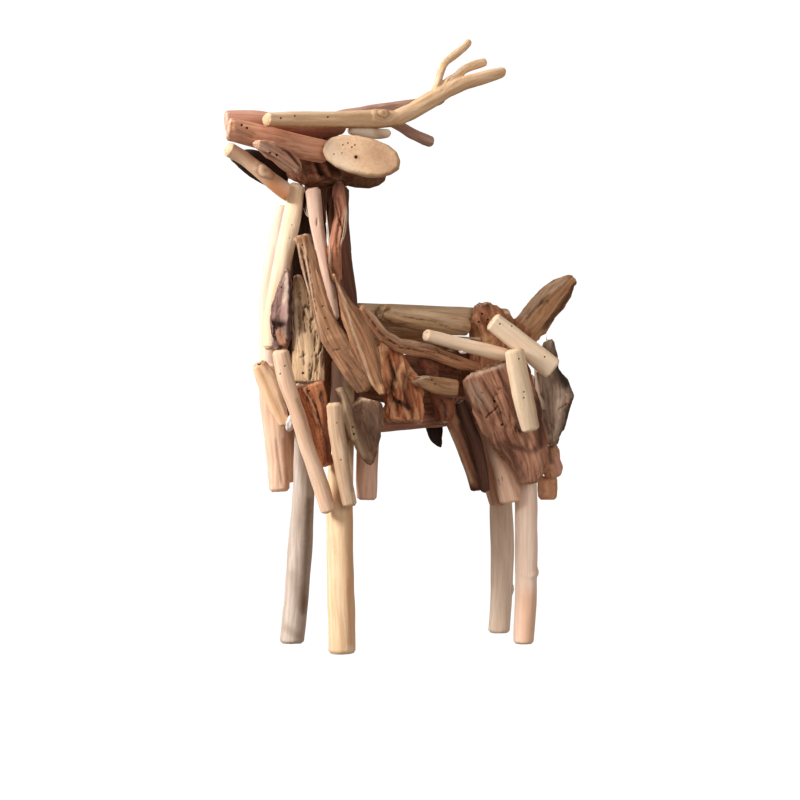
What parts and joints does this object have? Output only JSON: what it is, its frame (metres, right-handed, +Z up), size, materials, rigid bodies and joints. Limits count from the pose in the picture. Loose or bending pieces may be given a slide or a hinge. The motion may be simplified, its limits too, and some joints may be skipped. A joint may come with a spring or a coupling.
{
  "type": "driftwood deer sculpture",
  "caption": "Standing deer put together from driftwood sticks, planks and root chunks, with branch antlers, slice ears and a raised tail.",
  "frame": {"origin": "on the floor under the middle of the deer's outline, seen from above", "axes": "+Z up, +X from the head towards the tail, +Y towards the deer's far flank, the side turned away in the picture"},
  "size_m": [0.21, 0.0912, 0.2999],
  "materials": {
    "antler_far": "dry weathered driftwood, matt",
    "antler_near": "dry weathered driftwood, matt",
    "antler_prop": "dry weathered driftwood, matt",
    "back_log": "dry weathered driftwood, matt",
    "back_stick": "dry weathered driftwood, matt",
    "belly_bar": "dry weathered driftwood, matt",
    "belly_black_splinter": "dry weathered driftwood, matt",
    "breast_cracked_plank": "dry weathered driftwood, matt",
    "breast_far_stick": "dry weathered driftwood, matt",
    "breast_grey_piece": "dry weathered driftwood, matt",
    "breast_long_stick": "dry weathered driftwood, matt",
    "breast_slant_piece": "dry weathered driftwood, matt",
    "cheek_flake": "dry weathered driftwood, matt",
    "chest_cross_stick": "dry weathered driftwood, matt",
    "ear_far": "dry weathered driftwood, matt",
    "ear_near": "dry weathered driftwood, matt",
    "elbow_stick": "dry weathered driftwood, matt",
    "far_flank_log": "dry weathered driftwood, matt",
    "far_flank_plank": "dry weathered driftwood, matt",
    "far_hip_chunk": "dry weathered driftwood, matt",
    "far_neck_plank": "dry weathered driftwood, matt",
    "far_shoulder_plank": "dry weathered driftwood, matt",
    "far_shoulder_stick": "dry weathered driftwood, matt",
    "far_thigh_stick": "dry weathered driftwood, matt",
    "flank_bent_strand": "dry weathered driftwood, matt",
    "flank_dark_root": "dry weathered driftwood, matt",
    "flank_gnarled_root": "dry weathered driftwood, matt",
    "flank_pale_stick": "dry weathered driftwood, matt",
    "flank_small_plank": "dry weathered driftwood, matt",
    "groin_stick_front": "dry weathered driftwood, matt",
    "groin_stick_rear": "dry weathered driftwood, matt",
    "hip_chunk": "dry weathered driftwood, matt",
    "hip_short_stick": "dry weathered driftwood, matt",
    "hip_square_bar": "dry weathered driftwood, matt",
    "jaw_far_stick": "dry weathered driftwood, matt",
    "jaw_stick": "dry weathered driftwood, matt",
    "leg_far_front": "dry weathered driftwood, matt",
    "leg_far_hind": "dry weathered driftwood, matt",
    "leg_near_front": "dry weathered driftwood, matt",
    "leg_near_hind": "dry weathered driftwood, matt",
    "nape_strip": "dry weathered driftwood, matt",
    "neck_back_plank": "dry weathered driftwood, matt",
    "neck_long_plank": "dry weathered driftwood, matt",
    "neck_pink_stick": "dry weathered driftwood, matt",
    "neck_post": "dry weathered driftwood, matt",
    "rump_chunk": "dry weathered driftwood, matt",
    "rump_knob": "dry weathered driftwood, matt",
    "rump_rear_chunk": "dry weathered driftwood, matt",
    "rump_stub": "dry weathered driftwood, matt",
    "shoulder_dark_blade": "dry weathered driftwood, matt",
    "shoulder_pale_stick": "dry weathered driftwood, matt",
    "shoulder_red_piece": "dry weathered driftwood, matt",
    "skull_block": "dry weathered driftwood, matt",
    "snout_far_stick": "dry weathered driftwood, matt",
    "snout_near_stick": "dry weathered driftwood, matt",
    "tail": "dry weathered driftwood, matt",
    "thigh_pink_stick": "dry weathered driftwood, matt",
    "throat_cream_stick": "dry weathered driftwood, matt",
    "throat_far_stick": "dry weathered driftwood, matt",
    "withers_ridged_plank": "dry weathered driftwood, matt"
  },
  "bodies": {
    "root": {"antler_far": "antler_far", "antler_near": "antler_near", "antler_prop": "antler_prop", "back_log": "back_log", "back_stick": "back_stick", "belly_bar": "belly_bar", "belly_black_splinter": "belly_black_splinter", "breast_cracked_plank": "breast_cracked_plank", "breast_far_stick": "breast_far_stick", "breast_grey_piece": "breast_grey_piece", "breast_long_stick": "breast_long_stick", "breast_slant_piece": "breast_slant_piece", "cheek_flake": "cheek_flake", "chest_cross_stick": "chest_cross_stick", "ear_far": "ear_far", "ear_near": "ear_near", "elbow_stick": "elbow_stick", "far_flank_log": "far_flank_log", "far_flank_plank": "far_flank_plank", "far_hip_chunk": "far_hip_chunk", "far_neck_plank": "far_neck_plank", "far_shoulder_plank": "far_shoulder_plank", "far_shoulder_stick": "far_shoulder_stick", "far_thigh_stick": "far_thigh_stick", "flank_bent_strand": "flank_bent_strand", "flank_dark_root": "flank_dark_root", "flank_gnarled_root": "flank_gnarled_root", "flank_pale_stick": "flank_pale_stick", "flank_small_plank": "flank_small_plank", "groin_stick_front": "groin_stick_front", "groin_stick_rear": "groin_stick_rear", "hip_chunk": "hip_chunk", "hip_short_stick": "hip_short_stick", "hip_square_bar": "hip_square_bar", "jaw_far_stick": "jaw_far_stick", "jaw_stick": "jaw_stick", "leg_far_front": "leg_far_front", "leg_far_hind": "leg_far_hind", "leg_near_front": "leg_near_front", "leg_near_hind": "leg_near_hind", "nape_strip": "nape_strip", "neck_back_plank": "neck_back_plank", "neck_long_plank": "neck_long_plank", "neck_pink_stick": "neck_pink_stick", "neck_post": "neck_post", "rump_chunk": "rump_chunk", "rump_knob": "rump_knob", "rump_rear_chunk": "rump_rear_chunk", "rump_stub": "rump_stub", "shoulder_dark_blade": "shoulder_dark_blade", "shoulder_pale_stick": "shoulder_pale_stick", "shoulder_red_piece": "shoulder_red_piece", "skull_block": "skull_block", "snout_far_stick": "snout_far_stick", "snout_near_stick": "snout_near_stick", "tail": "tail", "thigh_pink_stick": "thigh_pink_stick", "throat_cream_stick": "throat_cream_stick", "throat_far_stick": "throat_far_stick", "withers_ridged_plank": "withers_ridged_plank"}
  },
  "joints": []
}
